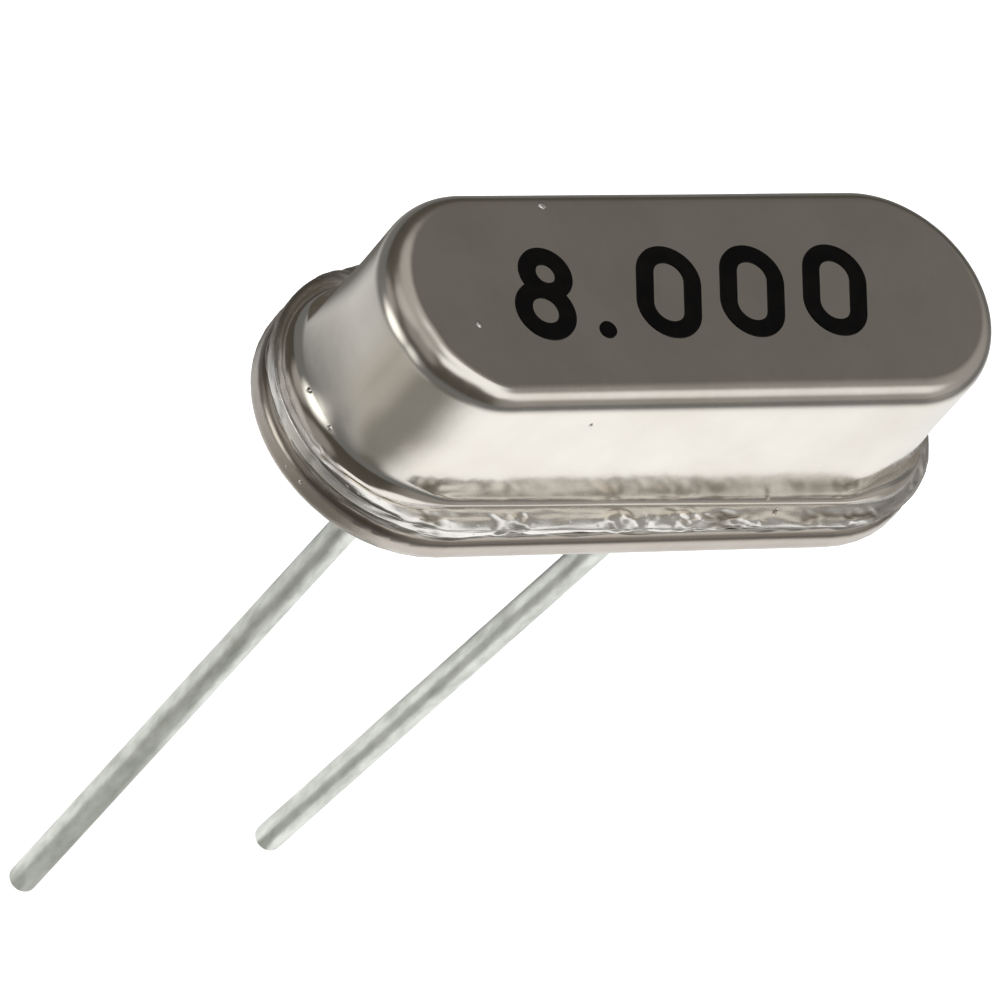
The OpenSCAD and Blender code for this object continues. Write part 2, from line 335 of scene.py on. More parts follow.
# Cards that lie behind and at the left of the part: x and y of the middle and the width, in mm
LYING_CARDS = (
    ("back_card", 5, 15.5, 27),
    ("left_card", -18.5, -4, 30),
    ("dark_card", -16, -11, 29),
    ("far_card", -22, -27, 34),
)

# Each lead's card opens by so many degrees to either side, and reaches so far, in millimetres
FANNED_CARDS = (("left_lead", 32), ("right_lead", 30))
FAN_REACH = 12.5

GROUPS = {
    "crystal_can": CanSettings,
    "crystal_weld": WeldSettings,
    "crystal_leads": LeadSettings,
    "crystal_marking": MarkingSettings,
    "crystal_inside": InsideSettings,
    "crystal_stage": StageSettings,
}


# ---------------------------------------------------------------- outline and mesh


def outline():
    """Stations round the stadium: each is (core x, outward x, outward y, run along the flange)."""
    stations, run = [], 0.0
    half = STRAIGHT / 2
    for side in (1, -1):
        for i in range(END_STEPS):
            angle = -side * HALF_TURN / 2 + HALF_TURN * i / END_STEPS
            ahead = FLANGE_RADIUS * HALF_TURN * i / END_STEPS
            stations.append((side * half, math.cos(angle), math.sin(angle), run + ahead))
        run += FLANGE_RADIUS * HALF_TURN
        for i in range(SIDE_STEPS):
            ahead = STRAIGHT * i / SIDE_STEPS
            stations.append((side * (half - ahead), 0.0, float(side), run + ahead))
        run += STRAIGHT
    return stations


def arc(centre, radius, start, end, steps):
    """Profile points along an arc, as (radius from the core, height, outward r, outward z)."""
    points = []
    for i in range(steps + 1):
        angle = math.radians(start + (end - start) * i / steps)
        c, s = math.cos(angle), math.sin(angle)
        points.append((centre[0] + radius * c, centre[1] + radius * s, c, s))
    return points


def line(start, end, normal, steps, skip_ends=True):
    """Profile points between two places, both of them left out unless asked for."""
    first, last = (1, steps) if skip_ends else (0, steps + 1)
    return [
        (
            start[0] + (end[0] - start[0]) * i / steps,
            start[1] + (end[1] - start[1]) * i / steps,
            *normal,
        )
        for i in range(first, last)
    ]


def smooth(low, high, value):
    """0 below low, 1 above high, and an even slope between."""
    t = min(1.0, max(0.0, (value - low) / (high - low)))
    return t * t * (3 - 2 * t)


def wrapped(run, across, width, stretch, seed=0.0):
    """Place in the noise for a spot on the rim, with no seam where the run round it closes."""
    whole = TAU * FLANGE_RADIUS + 2 * STRAIGHT
    radius = whole / TAU / (width * stretch)
    angle = TAU * run / whole
    return Vector((radius * math.cos(angle) + seed, radius * math.sin(angle), across / width))


def settled(name, mesh):
    """Turns a finished mesh into an object of the scene."""
    data = bpy.data.meshes.new(name)
    mesh.to_mesh(data)
    mesh.free()
    piece = bpy.data.objects.new(name, data)
    bpy.context.scene.collection.objects.link(piece)
    return piece


def loft(name, skins, close=False):
    """Smooth mesh object of skins, each of them rings of points in millimetres.

    Rings that shrink to a line or a point are merged, and close joins the last to the first.
    """
    mesh = bmesh.new()
    for rings in skins:
        count = len(rings[0])
        grid = [[mesh.verts.new(Vector(p) * MM) for p in ring] for ring in rings]
        pairs = list(zip(grid, grid[1:]))
        if close:
            pairs.append((grid[-1], grid[0]))
        for upper, lower in pairs:
            for i in range(count):
                j = (i + 1) % count
                mesh.faces.new((upper[i], lower[i], lower[j], upper[j])).smooth = True
    bmesh.ops.remove_doubles(mesh, verts=mesh.verts, dist=MERGE * MM)
    bmesh.ops.recalc_face_normals(mesh, faces=mesh.faces)
    return settled(name, mesh)


def board(name, wide, high, level=0.0):
    """A flat rectangle round the origin, in metres, at a level."""
    mesh = bmesh.new()
    corners = ((-1, -1), (1, -1), (1, 1), (-1, 1))
    mesh.faces.new(
        [mesh.verts.new((x * wide / 2, y * high / 2, level)) for x, y in corners]
    )
    return settled(name, mesh)


# ---------------------------------------------------------------- materials


def put(tree, kind, inputs=None, **settings):
    """Adds a node: settings are its own, and inputs are constants or other nodes' outputs."""
    node = tree.nodes.new(kind)
    for key, value in settings.items():
        setattr(node, key, value)
    for key, value in (inputs or {}).items():
        socket = node.inputs[key]
        if isinstance(value, bpy.types.NodeSocket):
            tree.links.new(value, socket)
        elif socket.type == "RGBA":
            socket.default_value = (*value, 1.0)
        else:
            socket.default_value = value
    return node


def started(name):
    """A new node material with only its output, and that output's surface socket."""
    material = bpy.data.materials.new(name)
    material.use_nodes = True
    tree = material.node_tree
    tree.nodes.clear()
    output = put(tree, "ShaderNodeOutputMaterial")
    return material, tree, output.inputs["Surface"]


def per_mm(millimetres):
    """Noise scale whose features are about this many millimetres apart."""
    return 1 / (millimetres * MM)


def patchy(tree, spot, apart, detail, low, high, first, second):
    """Blotches of two colours: returns the colour and the noise that drives it."""
    cloud = put(
        tree,
        "ShaderNodeTexNoise",
        {"Vector": spot, "Scale": per_mm(apart), "Detail": detail, "Roughness": 0.55},
    )
    mask = put(
        tree,
        "ShaderNodeMapRange",
        {"Value": cloud.outputs["Fac"], "From Min": low, "From Max": high},
    )
    mixed = put(
        tree,
        "ShaderNodeMix",
        {0: mask.outputs["Result"], 6: first, 7: second},
        data_type="RGBA",
    )
    return mixed.outputs[2], mask.outputs["Result"]


def stained(tree, spot, tone, soot_and_shade, clean_below, sooted_above):
    """Lays a heat stain over a colour, from one level up to another."""
    level = put(tree, "ShaderNodeSeparateXYZ", {"Vector": spot}).outputs["Z"]
    near_weld = put(
        tree,
        "ShaderNodeMapRange",
        {"Value": level, "From Min": clean_below, "From Max": sooted_above},
        interpolation_type="SMOOTHSTEP",
    )
    return put(
        tree,
        "ShaderNodeMix",
        {0: near_weld.outputs[0], 6: tone, 7: soot_and_shade},
        data_type="RGBA",
    ).outputs[2]


def dulled(tree, spot, rough):
    """Raises a roughness in each of the dull zones."""
    axes = put(tree, "ShaderNodeSeparateXYZ", {"Vector": spot})
    from_middle = put(tree, "ShaderNodeMath", {0: axes.outputs["X"]}, operation="ABSOLUTE")
    places = {"X": from_middle.outputs[0], "Z": axes.outputs["Z"]}
    for zone in DULL_ZONES:
        first, second = (
            put(
                tree,
                "ShaderNodeMapRange",
                {
                    "Value": places[axis],
                    "From Min": start * MM,
                    "From Max": end * MM,
                    "To Min": at_start,
                    "To Max": at_end,
                },
                interpolation_type="SMOOTHSTEP",
            )
            for axis, start, end, at_start, at_end in zone
        )
        duller = put(
            tree,
            "ShaderNodeMath",
            {0: first.outputs["Result"], 1: second.outputs["Result"], 2: 1.0},
            operation="MULTIPLY_ADD",
        )
        rough = put(
            tree,
            "ShaderNodeMath",
            {0: rough, 1: duller.outputs[0]},
            operation="MULTIPLY",
        ).outputs[0]
    return rough


def plated(name, colour, stain, gloss, grain_deep, heat=None):
    """Nickel plate over pressed steel.

    The plate mirrors its surroundings, a little blurred. Faint cloudy stains and hair-fine
    polishing lines keep the mirror from looking like glass. Heat gives a stain's colour and the
    levels between which it darkens the plate; plate without it has the can's dull zones.
    """
    material, tree, surface = started(name)
    spot = put(tree, "ShaderNodeTexCoord").outputs["Object"]
    # Stains 1.6 mm apart
    tone, _ = patchy(tree, spot, 1.6, 4, 0.35, 0.72, colour, stain)
    # Polishing lines that run across the can; real ones are finer than the 0.05 mm drawn here
    stretched = put(
        tree,
        "ShaderNodeMapping",
        {"Vector": spot, "Scale": (1.0, 0.06, 0.35)},
    )
    lines = put(
        tree,
        "ShaderNodeTexNoise",
        {"Vector": stretched.outputs["Vector"], "Scale": per_mm(0.05), "Detail": 3},
    )
    rough = put(
        tree,
        "ShaderNodeMapRange",
        {
            "Value": lines.outputs["Fac"],
            "From Min": 0.3,
            "From Max": 0.7,
            "To Min": gloss * 0.92,
            "To Max": gloss * 1.1,
        },
    ).outputs["Result"]
    if heat:
        tone = stained(tree, spot, tone, *heat)
    else:
        rough = dulled(tree, spot, rough)
    # Orange peel 0.5 mm apart, with the lines barely cut into it
    peel = put(
        tree,
        "ShaderNodeTexNoise",
        {"Vector": spot, "Scale": per_mm(0.5), "Detail": 2},
    )
    relief = put(
        tree,
        "ShaderNodeMath",
        {0: lines.outputs["Fac"], 1: 0.04, 2: peel.outputs["Fac"]},
        operation="MULTIPLY_ADD",
    )
    bump = put(
        tree,
        "ShaderNodeBump",
        {"Height": relief.outputs[0], "Strength": 1.0, "Distance": grain_deep * MM},
    )
    metal = put(
        tree,
        "ShaderNodeBsdfPrincipled",
        {
            "Base Color": tone,
            "Metallic": 1.0,
            "Roughness": rough,
            "Normal": bump.outputs["Normal"],
        },
    )
    tree.links.new(metal.outputs[0], surface)
    return material


def fused(name, colour, soot_and_shade, gloss):
    """Steel and nickel that melted and set again in the weld.

    It shows bright folded ridges with dull, heat-stained creases between them, and painted shade
    that darkens the flange at the rear left. Two attributes that the rim's mesh carries say how
    dark each spot is, from how deep it lies and from that painted shade, and where it is along and
    across the rim in millimetres.
    """
    material, tree, surface = started(name)
    crease = put(tree, "ShaderNodeAttribute", attribute_name="crease")
    place = put(tree, "ShaderNodeAttribute", attribute_name="rim_place")
    # Ripples 0.06 mm apart across the rim and six times as long along it
    along = put(
        tree,
        "ShaderNodeMapping",
        {"Vector": place.outputs["Vector"], "Scale": (1 / 6, 1 / 6, 1.0)},
    )
    ripple = put(
        tree,
        "ShaderNodeTexNoise",
        {"Vector": along.outputs["Vector"], "Scale": 1 / 0.06, "Detail": 3, "Roughness": 0.6},
    )
    cloud = put(
        tree,
        "ShaderNodeTexNoise",
        {"Vector": place.outputs["Vector"], "Scale": 1 / 0.35, "Detail": 3},
    )
    streak = put(
        tree,
        "ShaderNodeMapRange",
        {
            "Value": ripple.outputs["Fac"],
            "From Min": 0.35,
            "From Max": 0.65,
            "To Min": 0.6,
            "To Max": 1.2,
        },
    )
    # How far each spot turns to the soot's colour: soot in the creases, and painted shade at the
    # rear left
    deep = put(
        tree,
        "ShaderNodeMath",
        {0: crease.outputs["Fac"], 1: streak.outputs["Result"]},
        operation="MULTIPLY",
        use_clamp=True,
    )
    tone = put(
        tree,
        "ShaderNodeMix",
        {0: deep.outputs[0], 6: colour, 7: soot_and_shade},
        data_type="RGBA",
    )
    dull = put(
        tree,
        "ShaderNodeMapRange",
        {
            "Value": cloud.outputs["Fac"],
            "From Min": 0.35,
            "From Max": 0.65,
            "To Min": gloss - 0.05,
            "To Max": gloss + 0.08,
        },
    )
    rough = put(
        tree,
        "ShaderNodeMath",
        {0: deep.outputs[0], 1: 0.26, 2: dull.outputs["Result"]},
        operation="MULTIPLY_ADD",
    )
    bump = put(
        tree,
        "ShaderNodeBump",
        {"Height": ripple.outputs["Fac"], "Strength": 1.0, "Distance": 0.004 * MM},
    )
    metal = put(
        tree,
        "ShaderNodeBsdfPrincipled",
        {
            "Base Color": tone.outputs[2],
            "Metallic": 1.0,
            "Roughness": rough.outputs[0],
            "Normal": bump.outputs["Normal"],
        },
    )
    tree.links.new(metal.outputs[0], surface)
    return material


def tinned(name, colour, shade, gloss):
    """Dip-tinned copper-clad wire.

    Tin sets soft and satin, with long pale streaks along the wire and a fine frost.
    """
    material, tree, surface = started(name)
    spot = put(tree, "ShaderNodeTexCoord").outputs["Object"]
    # Streaks 0.2 mm wide and about three times as long
    along = put(
        tree,
        "ShaderNodeMapping",
        {"Vector": spot, "Scale": (1.0, 1.0, 0.35)},
    )
    tone, streak = patchy(
        tree, along.outputs["Vector"], 0.2, 3, 0.35, 0.68, colour, shade
    )
    # Frost 0.08 mm apart
    frost = put(
        tree,
        "ShaderNodeTexNoise",
        {"Vector": spot, "Scale": per_mm(0.08), "Detail": 4},
    )
    rough = put(
        tree,
        "ShaderNodeMapRange",
        {"Value": streak, "To Min": gloss, "To Max": gloss + 0.1},
    )
    relief = put(
        tree,
        "ShaderNodeMath",
        {0: frost.outputs["Fac"], 1: streak},
        operation="ADD",
    )
    bump = put(
        tree,
        "ShaderNodeBump",
        {"Height": relief.outputs[0], "Strength": 0.8, "Distance": 0.003 * MM},
    )
    metal = put(
        tree,
        "ShaderNodeBsdfPrincipled",
        {
            "Base Color": tone,
            "Metallic": 1.0,
            "Roughness": rough.outputs["Result"],
            "Normal": bump.outputs["Normal"],
        },
    )
    tree.links.new(metal.outputs[0], surface)
    return material


def printed(name, colour, thin):
    """Pad-printed epoxy ink: dense, nearly black and faintly satin, a little thinner in places."""
    material, tree, surface = started(name)
    spot = put(tree, "ShaderNodeTexCoord").outputs["Object"]
    tone, cloud = patchy(tree, spot, 0.3, 3, 0.4, 0.75, colour, thin)
    bump = put(
        tree,
        "ShaderNodeBump",
        {"Height": cloud, "Strength": 0.4, "Distance": 0.004 * MM},
    )
    ink = put(
        tree,
        "ShaderNodeBsdfPrincipled",
        {
            "Base Color": tone,
            "Roughness": 0.55,
            "IOR": 1.5,
            "Specular IOR Level": 0.1,
            "Normal": bump.outputs["Normal"],
        },
    )
    tree.links.new(ink.outputs[0], surface)
    return material


def glassy(name, colour, roughness, ior, through, apart):
    """Glass or quartz: a clear body whose finely uneven skin softens what shows through.

    Fired glass is gently uneven. Lapped quartz is matt from its grit, which is finer than the
    grain drawn here.
    """
    material, tree, surface = started(name)
    spot = put(tree, "ShaderNodeTexCoord").outputs["Object"]
    skin = put(
        tree,
        "ShaderNodeTexNoise",
        {"Vector": spot, "Scale": per_mm(apart), "Detail": 3},
    )
    rough = put(
        tree,
        "ShaderNodeMapRange",
        {
            "Value": skin.outputs["Fac"],
            "To Min": roughness * 0.7,
            "To Max": roughness * 1.3,
        },
    )
    bump = put(
        tree,
        "ShaderNodeBump",
        {"Height": skin.outputs["Fac"], "Strength": 0.6, "Distance": 0.004 * MM},
    )
    body = put(
        tree,
        "ShaderNodeBsdfPrincipled",
        {
            "Base Color": colour,
            "Roughness": rough.outputs["Result"],
            "IOR": ior,
            "Transmission Weight": through,
            "Normal": bump.outputs["Normal"],
        },
    )
    tree.links.new(body.outputs[0], surface)
    return material


def soft_metal(name, colour, shade, metallic, roughness, apart, deep):
    """Satin metal or metal-filled paste with a fine even grain, such as rolled strip or silver."""
    material, tree, surface = started(name)
    spot = put(tree, "ShaderNodeTexCoord").outputs["Object"]
    tone, cloud = patchy(tree, spot, apart, 4, 0.35, 0.7, colour, shade)
    rough = put(
        tree,
        "ShaderNodeMapRange",
        {"Value": cloud, "To Min": roughness, "To Max": roughness + 0.15},
    )
    bump = put(
        tree,
        "ShaderNodeBump",
        {"Height": cloud, "Strength": 0.7, "Distance": deep * MM},
    )
    metal = put(
        tree,
        "ShaderNodeBsdfPrincipled",
        {
            "Base Color": tone,
            "Metallic": metallic,
            "Roughness": rough.outputs["Result"],
            "Normal": bump.outputs["Normal"],
        },
    )
    tree.links.new(metal.outputs[0], surface)
    return material


def dress(names, material):
    """Gives CAD nodes a material through their own material slots."""
    for name in names:
        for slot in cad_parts[name].material_slots:
            slot.material = material


def settings(name):
    """The scene's settings of one group."""
    return getattr(bpy.context.scene, name)


# ---------------------------------------------------------------- pieces


def melt(run, across, weld):
    """Height of the melted rim at a spot, from -1 in a crease to 1 on a ridge."""
    width, stretch = weld.crinkle_width / MM, weld.crinkle_stretch
    warp = 0.9 * width * noise.noise(wrapped(run, across, width * 5, 2.5, seed=7.0))
    lump = noise.noise(wrapped(run, across, width * 3.6, 2.6, seed=3.0))
    fold = noise.noise(wrapped(run, across + warp, width * 1.2, stretch))
    # Curls come only in some stretches of the rim
    curl = noise.noise(wrapped(run, across + 2 * warp, width, 1.8, seed=31.0))
    curl *= smooth(-0.1, 0.25, noise.noise(wrapped(run, 0.0, 0.7, 1.0, seed=57.0)))
    return max(-1.0, min(1.0, 1.2 * lump + 0.45 * fold + 1.1 * curl))


def mark(point):
    """Key of a point in millimetres, by which its darkening and its place are found again."""
    return tuple(round(c, MARK_DIGITS) for c in point)


def mark_rim(piece, darkenings, places):
    """Keeps each vertex's darkening, from soot in the creases and painted shade at the rear left,
    and its place along and across the rim, for the fused metal.
    """
    darkness = piece.data.attributes.new("crease", "FLOAT", "POINT")
    place = piece.data.attributes.new("rim_place", "FLOAT_VECTOR", "POINT")
    for vertex in piece.data.vertices:
        key = mark(c / MM for c in vertex.co)
        darkness.data[vertex.index].value = darkenings.get(key, 0.0)
        place.data[vertex.index].vector = places.get(key, (0.0, 0.0, 0.0))


def toe_level(can, x):
    """Level where the fillet meets the flange at a place along the can, in millimetres."""
    return can.toe / MM - can.toe_fall * max(FALL_START, min(FALL_END, x))


def fillet(centre, radius, start, end, steps):
    """Profile points along a hollow corner, whose metal faces the arc's centre."""
    return [(r, z, -nr, -nz) for r, z, nr, nz in arc(centre, radius, start, end, steps)]


def rounded(corner, across, down, steps):
    """Profile points round an outer corner, from flat on top to the upright wall.

    The rounding is an ellipse's quarter, so it can reach further across than down.
    """
    points = []
    for i in range(steps + 1):
        angle = math.radians(90 - 90 * i / steps)
        out, up = math.cos(angle) / across, math.sin(angle) / down
        length = math.hypot(out, up)
        points.append(
            (
                corner[0] - across + across * math.cos(angle),
                corner[1] - down + down * math.sin(angle),
                out / length,
                up / length,
            )
        )
    return points


def can_profile(can, edge, drop, foot, turn, toe, dish, spread, bulge):
    """Half profile of the can, out from the middle of its top, down round the sheet, and back.

    Each point is (radius from the core, height, outward r, outward z); inside, the sheet has no
    outward direction, because nothing is added to it there. Toward its foot the wall spreads.
    """
    wall = FLANGE_RADIUS - can.overhang / MM
    inner = wall - can.sheet / MM
    top, base = CAN_HIGH.z, CAN_LOW.z
    lip, mouth = can.groove_edge / MM, can.mouth / MM
    ceiling = top - can.sheet / MM
    rim = min(can.flange_edge / MM, 0.6 * (toe + dish - base))
    # The fillet turns by so many degrees, and the dished flange starts at its toe
    heart = (wall + foot, toe + foot * math.sin(math.radians(turn)))
    near = (heart[0] - foot * math.cos(math.radians(turn)), toe)
    least_flat, edge_guard, toe_guard = 0.04, 0.012, 0.004
    wide = min(2 * rim, FLANGE_RADIUS - near[0] - least_flat)
    far = (FLANGE_RADIUS - wide, toe + dish)
    rise = math.atan2(dish, far[0] - near[0])
    up = (-math.sin(rise), math.cos(rise))
    hidden = (0, 0)
    # A ring close to each end of the top and of the flange keeps their shading flat
    points = (
        line((0, top), (wall - edge, top), (0, 1), 9, skip_ends=False)[:-1]
        + [(wall - edge - edge_guard, top, 0, 1)]
        + rounded((wall, top), edge, drop, 16)
        + line((wall, top - drop), (wall, heart[1]), (1, 0), 14)
        + fillet(heart, foot, 180, 180 + turn, 8)
        + [(near[0] + toe_guard * up[1], near[1] - toe_guard * up[0], *up)]
        + line(near, far, up, 9)
        + rounded((FLANGE_RADIUS, far[1]), wide, rim, 18)
        + line((FLANGE_RADIUS, far[1] - rim), (FLANGE_RADIUS, base + lip), (1, 0), 3)
        + arc((FLANGE_RADIUS - lip, base + lip), lip, 0, -90, 4)
        + line((FLANGE_RADIUS - lip, base), (inner + mouth, base), (0, -1), 3)
    )
    flare = can.flare_height / MM
    for k, (r, z, nr, nz) in enumerate(points):
        if z > base + lip:
            # The spread fades out up the wall and toward the rim, the bulge down toward the toe
            reach = max(0.0, 1 - max(0.0, z - toe) / flare) ** 2
            room = min(1.0, (FLANGE_RADIUS - r) / (FLANGE_RADIUS - wall))
            out = spread * reach * room
            out += bulge * min(1.0, r / (wall - edge)) * smooth(toe + 0.3, toe + 1.3, z)
            points[k] = (r + out, z, nr, nz)
    return (
        points
        + [
            (r, z, *hidden)
            for r, z, _, _ in arc((inner + mouth, base + mouth), mouth, 270, 180, 4)
        ]
        + line((inner, base + mouth), (inner, ceiling), hidden, 3, skip_ends=False)[1:]
        + line((inner, ceiling), (0, ceiling), hidden, 3, skip_ends=False)[1:]
    )


def can_section(can, core, ox, oy):
    """Half profile of the can at one station, with the level of the flange's rim there."""
    wall = FLANGE_RADIUS - can.overhang / MM
    # The draw left the top edge fuller at the left end, most of all in front
    left = smooth(0.25, 0.85, -ox) * (1 - 0.6 * smooth(0.2, 0.9, oy))
    edge = (can.top_edge + (can.left_edge - can.top_edge) * left) / MM
    drop = (can.edge_drop + (can.left_drop - can.edge_drop) * left) / MM
    bulge = can.shoulder / MM * smooth(0.0, 0.4, -ox) * smooth(0.35, 0.65, -oy)
    x = core + wall * ox
    toe = toe_level(can, x)
    # The flange is dished up to the middle of the can, and flat at the right end
    dish = can.dish / MM * smooth(5.5, 0.0, x)
    end = smooth(0.0, 0.55, abs(ox))
    foot = (can.foot + (can.end_foot - can.foot) * end) / MM
    turn = FOOT_TURN + END_TURN * end
    spread = can.flare / MM * smooth(0.3, 0.9, abs(ox))
    profile = can_profile(can, edge, drop, foot, turn, toe, dish, spread, bulge)
    return profile, toe + dish


class CRYSTAL_OT_draw_can(bpy.types.Operator):
    """Builds the drawn can with its faint waves and the rim that the weld melted"""

    bl_idname = "crystal.draw_can"
    bl_label = "Draw can"
    bl_options = {"REGISTER", "UNDO"}

    def execute(self, context):
        can, weld = settings("crystal_can"), settings("crystal_weld")
        wall = FLANGE_RADIUS - can.overhang / MM
        start = wall + weld.melt_start / MM
        rim_start = wall + 0.06
        deep, wave = weld.crinkle / MM, can.waviness / MM
        columns, darkenings, places = [], {}, {}
        for core, ox, oy, run in outline():
            # Painted shade darkens the flange at the rear left, in the soot's colour
            rear_left_shade = smooth(0.1, 0.6, oy) * smooth(0.1, 0.6, -ox)
            # The rim melted least round the left end, and less at the right than in front
            calm = 0.75 * smooth(-0.6, -0.15, oy) * smooth(0.1, 0.6, -ox)
            calm += 0.45 * smooth(0.3, 0.8, ox)
            ragged = 0.08 * noise.noise(wrapped(run, 0.0, 0.35, 1.0, seed=11.0))
            column, across, last = [], 0.0, None
            profile, rim_level = can_section(can, core, ox, oy)
            for r, z, nr, nz in profile:
                outside = nr or nz
                on_rim = outside and z <= rim_level + 1e-6 and r > rim_start
                shift = 0.0
                if outside and not on_rim:
                    place = Vector((core + r * ox, r * oy, z)) / (can.wave_length / MM)
                    shift = wave * (noise.noise(place) - 0.5)
                if on_rim:
                    across += math.hypot(r - last[0], z - last[1])
                    amount = smooth(start - 0.1 + ragged, start + 0.06 + ragged, r)
                    amount *= 1 - calm
                    # Underneath, only the outer part of the flange melted
                    if nz < 0:
                        amount *= smooth(wall + 0.25, wall + 0.36, r)
                    height = melt(run, across, weld)
                    # Melted metal stands a little proud of the face, but not of the outline
                    lift = 0.4 * deep if nz > 0.5 else 0.0
                    shift = amount * (deep * (height - 1) / 2 + lift)
                    # Soot darkens the creases, and painted shade darkens the flange's rear left
                    crease = max(amount * smooth(0.0, -0.8, height), 1.4 * rear_left_shade)
                last = (r, z)
                reach = min(r + shift * nr, FLANGE_RADIUS)
                point = (core + reach * ox, reach * oy, z + shift * nz)
                column.append(point)
                if on_rim:
                    key = mark(point)
                    darkenings[key] = crease
                    places[key] = wrapped(run, across, 1.0, 1.0)
            columns.append(column)
        piece = loft("drawn_can", [list(zip(*columns))])
        # The flange and its melted rim take the fused metal, the rest the bright plate
        piece.data.materials.append(
            plated(
                "bright_nickel_plate",
                tuple(can.plate),
                tuple(can.plate_stain),
                can.gloss,
                grain_deep=0.004,
            )
        )
        piece.data.materials.append(
            fused("fused_rim_metal", tuple(weld.flash), tuple(weld.soot_and_shade), weld.gloss)
        )
        for face in piece.data.polygons:
            beyond = max(0.0, abs(face.center.x) - STRAIGHT / 2 * MM)
            out = math.hypot(beyond, face.center.y)
            toe = toe_level(can, face.center.x / MM) * MM
            if out > wall * MM + 0.35 * can.foot and face.center.z < toe + 1.5 * can.dish:
                face.material_index = 1
        mark_rim(piece, darkenings, places)
        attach(piece, "root")
        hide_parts("can")
        return {"FINISHED"}


class CRYSTAL_OT_flash_weld(bpy.types.Operator):
    """Builds the lumpy flash that the weld squeezed out between the flanges"""

    bl_idname = "crystal.flash_weld"
    bl_label = "Flash weld"
    bl_options = {"REGISTER", "UNDO"}

    def execute(self, context):
        weld = settings("crystal_weld")
        middle = weld.flash_middle / MM
        steps = 16
        columns, darkenings, places = [], {}, {}
        for core, ox, oy, run in outline():
            column = []
            for k in range(steps):
                angle = TAU * k / steps
                lump = noise.noise(wrapped(run, 0.05 * k, 0.16, 3.0, seed=91.0))
                fat = 0.052 + 0.012 * lump
                # Outside, it sits back in the groove; inside, it reaches well in
                reach = FLANGE_RADIUS - 0.09 + 0.03 * lump
                r = reach + fat * math.cos(angle) - 0.2 * smooth(0, -1, math.cos(angle))
                z = middle + 0.85 * fat * math.sin(angle)
                point = (core + r * ox, r * oy, z)
                column.append(point)
                key = mark(point)
                darkenings[key] = 0.7
                places[key] = wrapped(run, fat * angle, 1.0, 1.0, seed=5.0)
            columns.append(column)
        piece = loft("weld_flash", [list(zip(*columns))], close=True)
        mark_rim(piece, darkenings, places)
        piece.data.materials.append(bpy.data.materials["fused_rim_metal"])
        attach(piece, "root")
        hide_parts("weld_bead")
        return {"FINISHED"}


def bead(centre, across, high, seed):
    """Rings round a small uneven lump, in millimetres, from its top to its foot."""
    rings = []
    for k in range(BEAD_RINGS):
        rise = math.radians(90 - 180 * k / (BEAD_RINGS - 1))
        ring = []
        for i in range(BEAD_SIDES):
            angle = TAU * i / BEAD_SIDES
            out, up = math.cos(rise), math.sin(rise)
            way = Vector((out * math.cos(angle), out * math.sin(angle), up))
            grow = 1 + 0.35 * noise.noise(way * 1.5 + Vector((seed, 0, 0)))
            ring.append(
                tuple(
                    middle + half * grow * part
                    for middle, half, part in zip(centre, (across, across, high), way)
                )
            )
        rings.append(ring)
    return rings


class CRYSTAL_OT_spatter_weld(bpy.types.Operator):
    """Adds the few beads of metal that the weld threw on the part"""

    bl_idname = "crystal.spatter_weld"
    bl_label = "Spatter weld"
    bl_options = {"REGISTER", "UNDO"}

    def execute(self, context):
        skins = [
            bead((x, y, z), across, high, seed=3.7 * k)
            for k, (x, y, z, across, high) in enumerate(BEADS)
        ]
        piece = loft("weld_spatter", skins)
        piece.data.materials.append(bpy.data.materials["fused_rim_metal"])
        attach(piece, "root")
        return {"FINISHED"}


class CRYSTAL_OT_plate_header(bpy.types.Operator):
    """Plates the stamped header"""

    bl_idname = "crystal.plate_header"
    bl_label = "Plate header"
    bl_options = {"REGISTER", "UNDO"}

    def execute(self, context):
        can = settings("crystal_can")
        material = plated(
            "satin_nickel_plate",
            tuple(can.header_plate),
            tuple(can.header_stain),
            can.header_gloss,
            grain_deep=0.006,
            heat=(tuple(can.header_soot), 0.2 * MM, 0.4 * MM),
        )
        dress(["header"], material)
        return {"FINISHED"}


class CRYSTAL_OT_tin_leads(bpy.types.Operator):
    """Tins both wire leads"""

    bl_idname = "crystal.tin_leads"
    bl_label = "Tin leads"
    bl_options = {"REGISTER", "UNDO"}

    def execute(self, context):
        lead = settings("crystal_leads")
        material = tinned(
            "dip_tinned_wire", tuple(lead.tin), tuple(lead.tin_shade), lead.gloss
        )
        dress(["left_lead", "right_lead"], material)
        return {"FINISHED"}


class CRYSTAL_OT_seal_leads(bpy.types.Operator):
    """Fills both eyelets with sealing glass"""

    bl_idname = "crystal.seal_leads"
    bl_label = "Seal leads"
    bl_options = {"REGISTER", "UNDO"}

    def execute(self, context):
        inside = settings("crystal_inside")
        material = glassy(
            "fired_sealing_glass",
            tuple(inside.glass),
            roughness=0.12,
            ior=1.52,
            through=0.35,
            apart=0.2,
        )
        dress(["left_glass_seal", "right_glass_seal"], material)
        return {"FINISHED"}


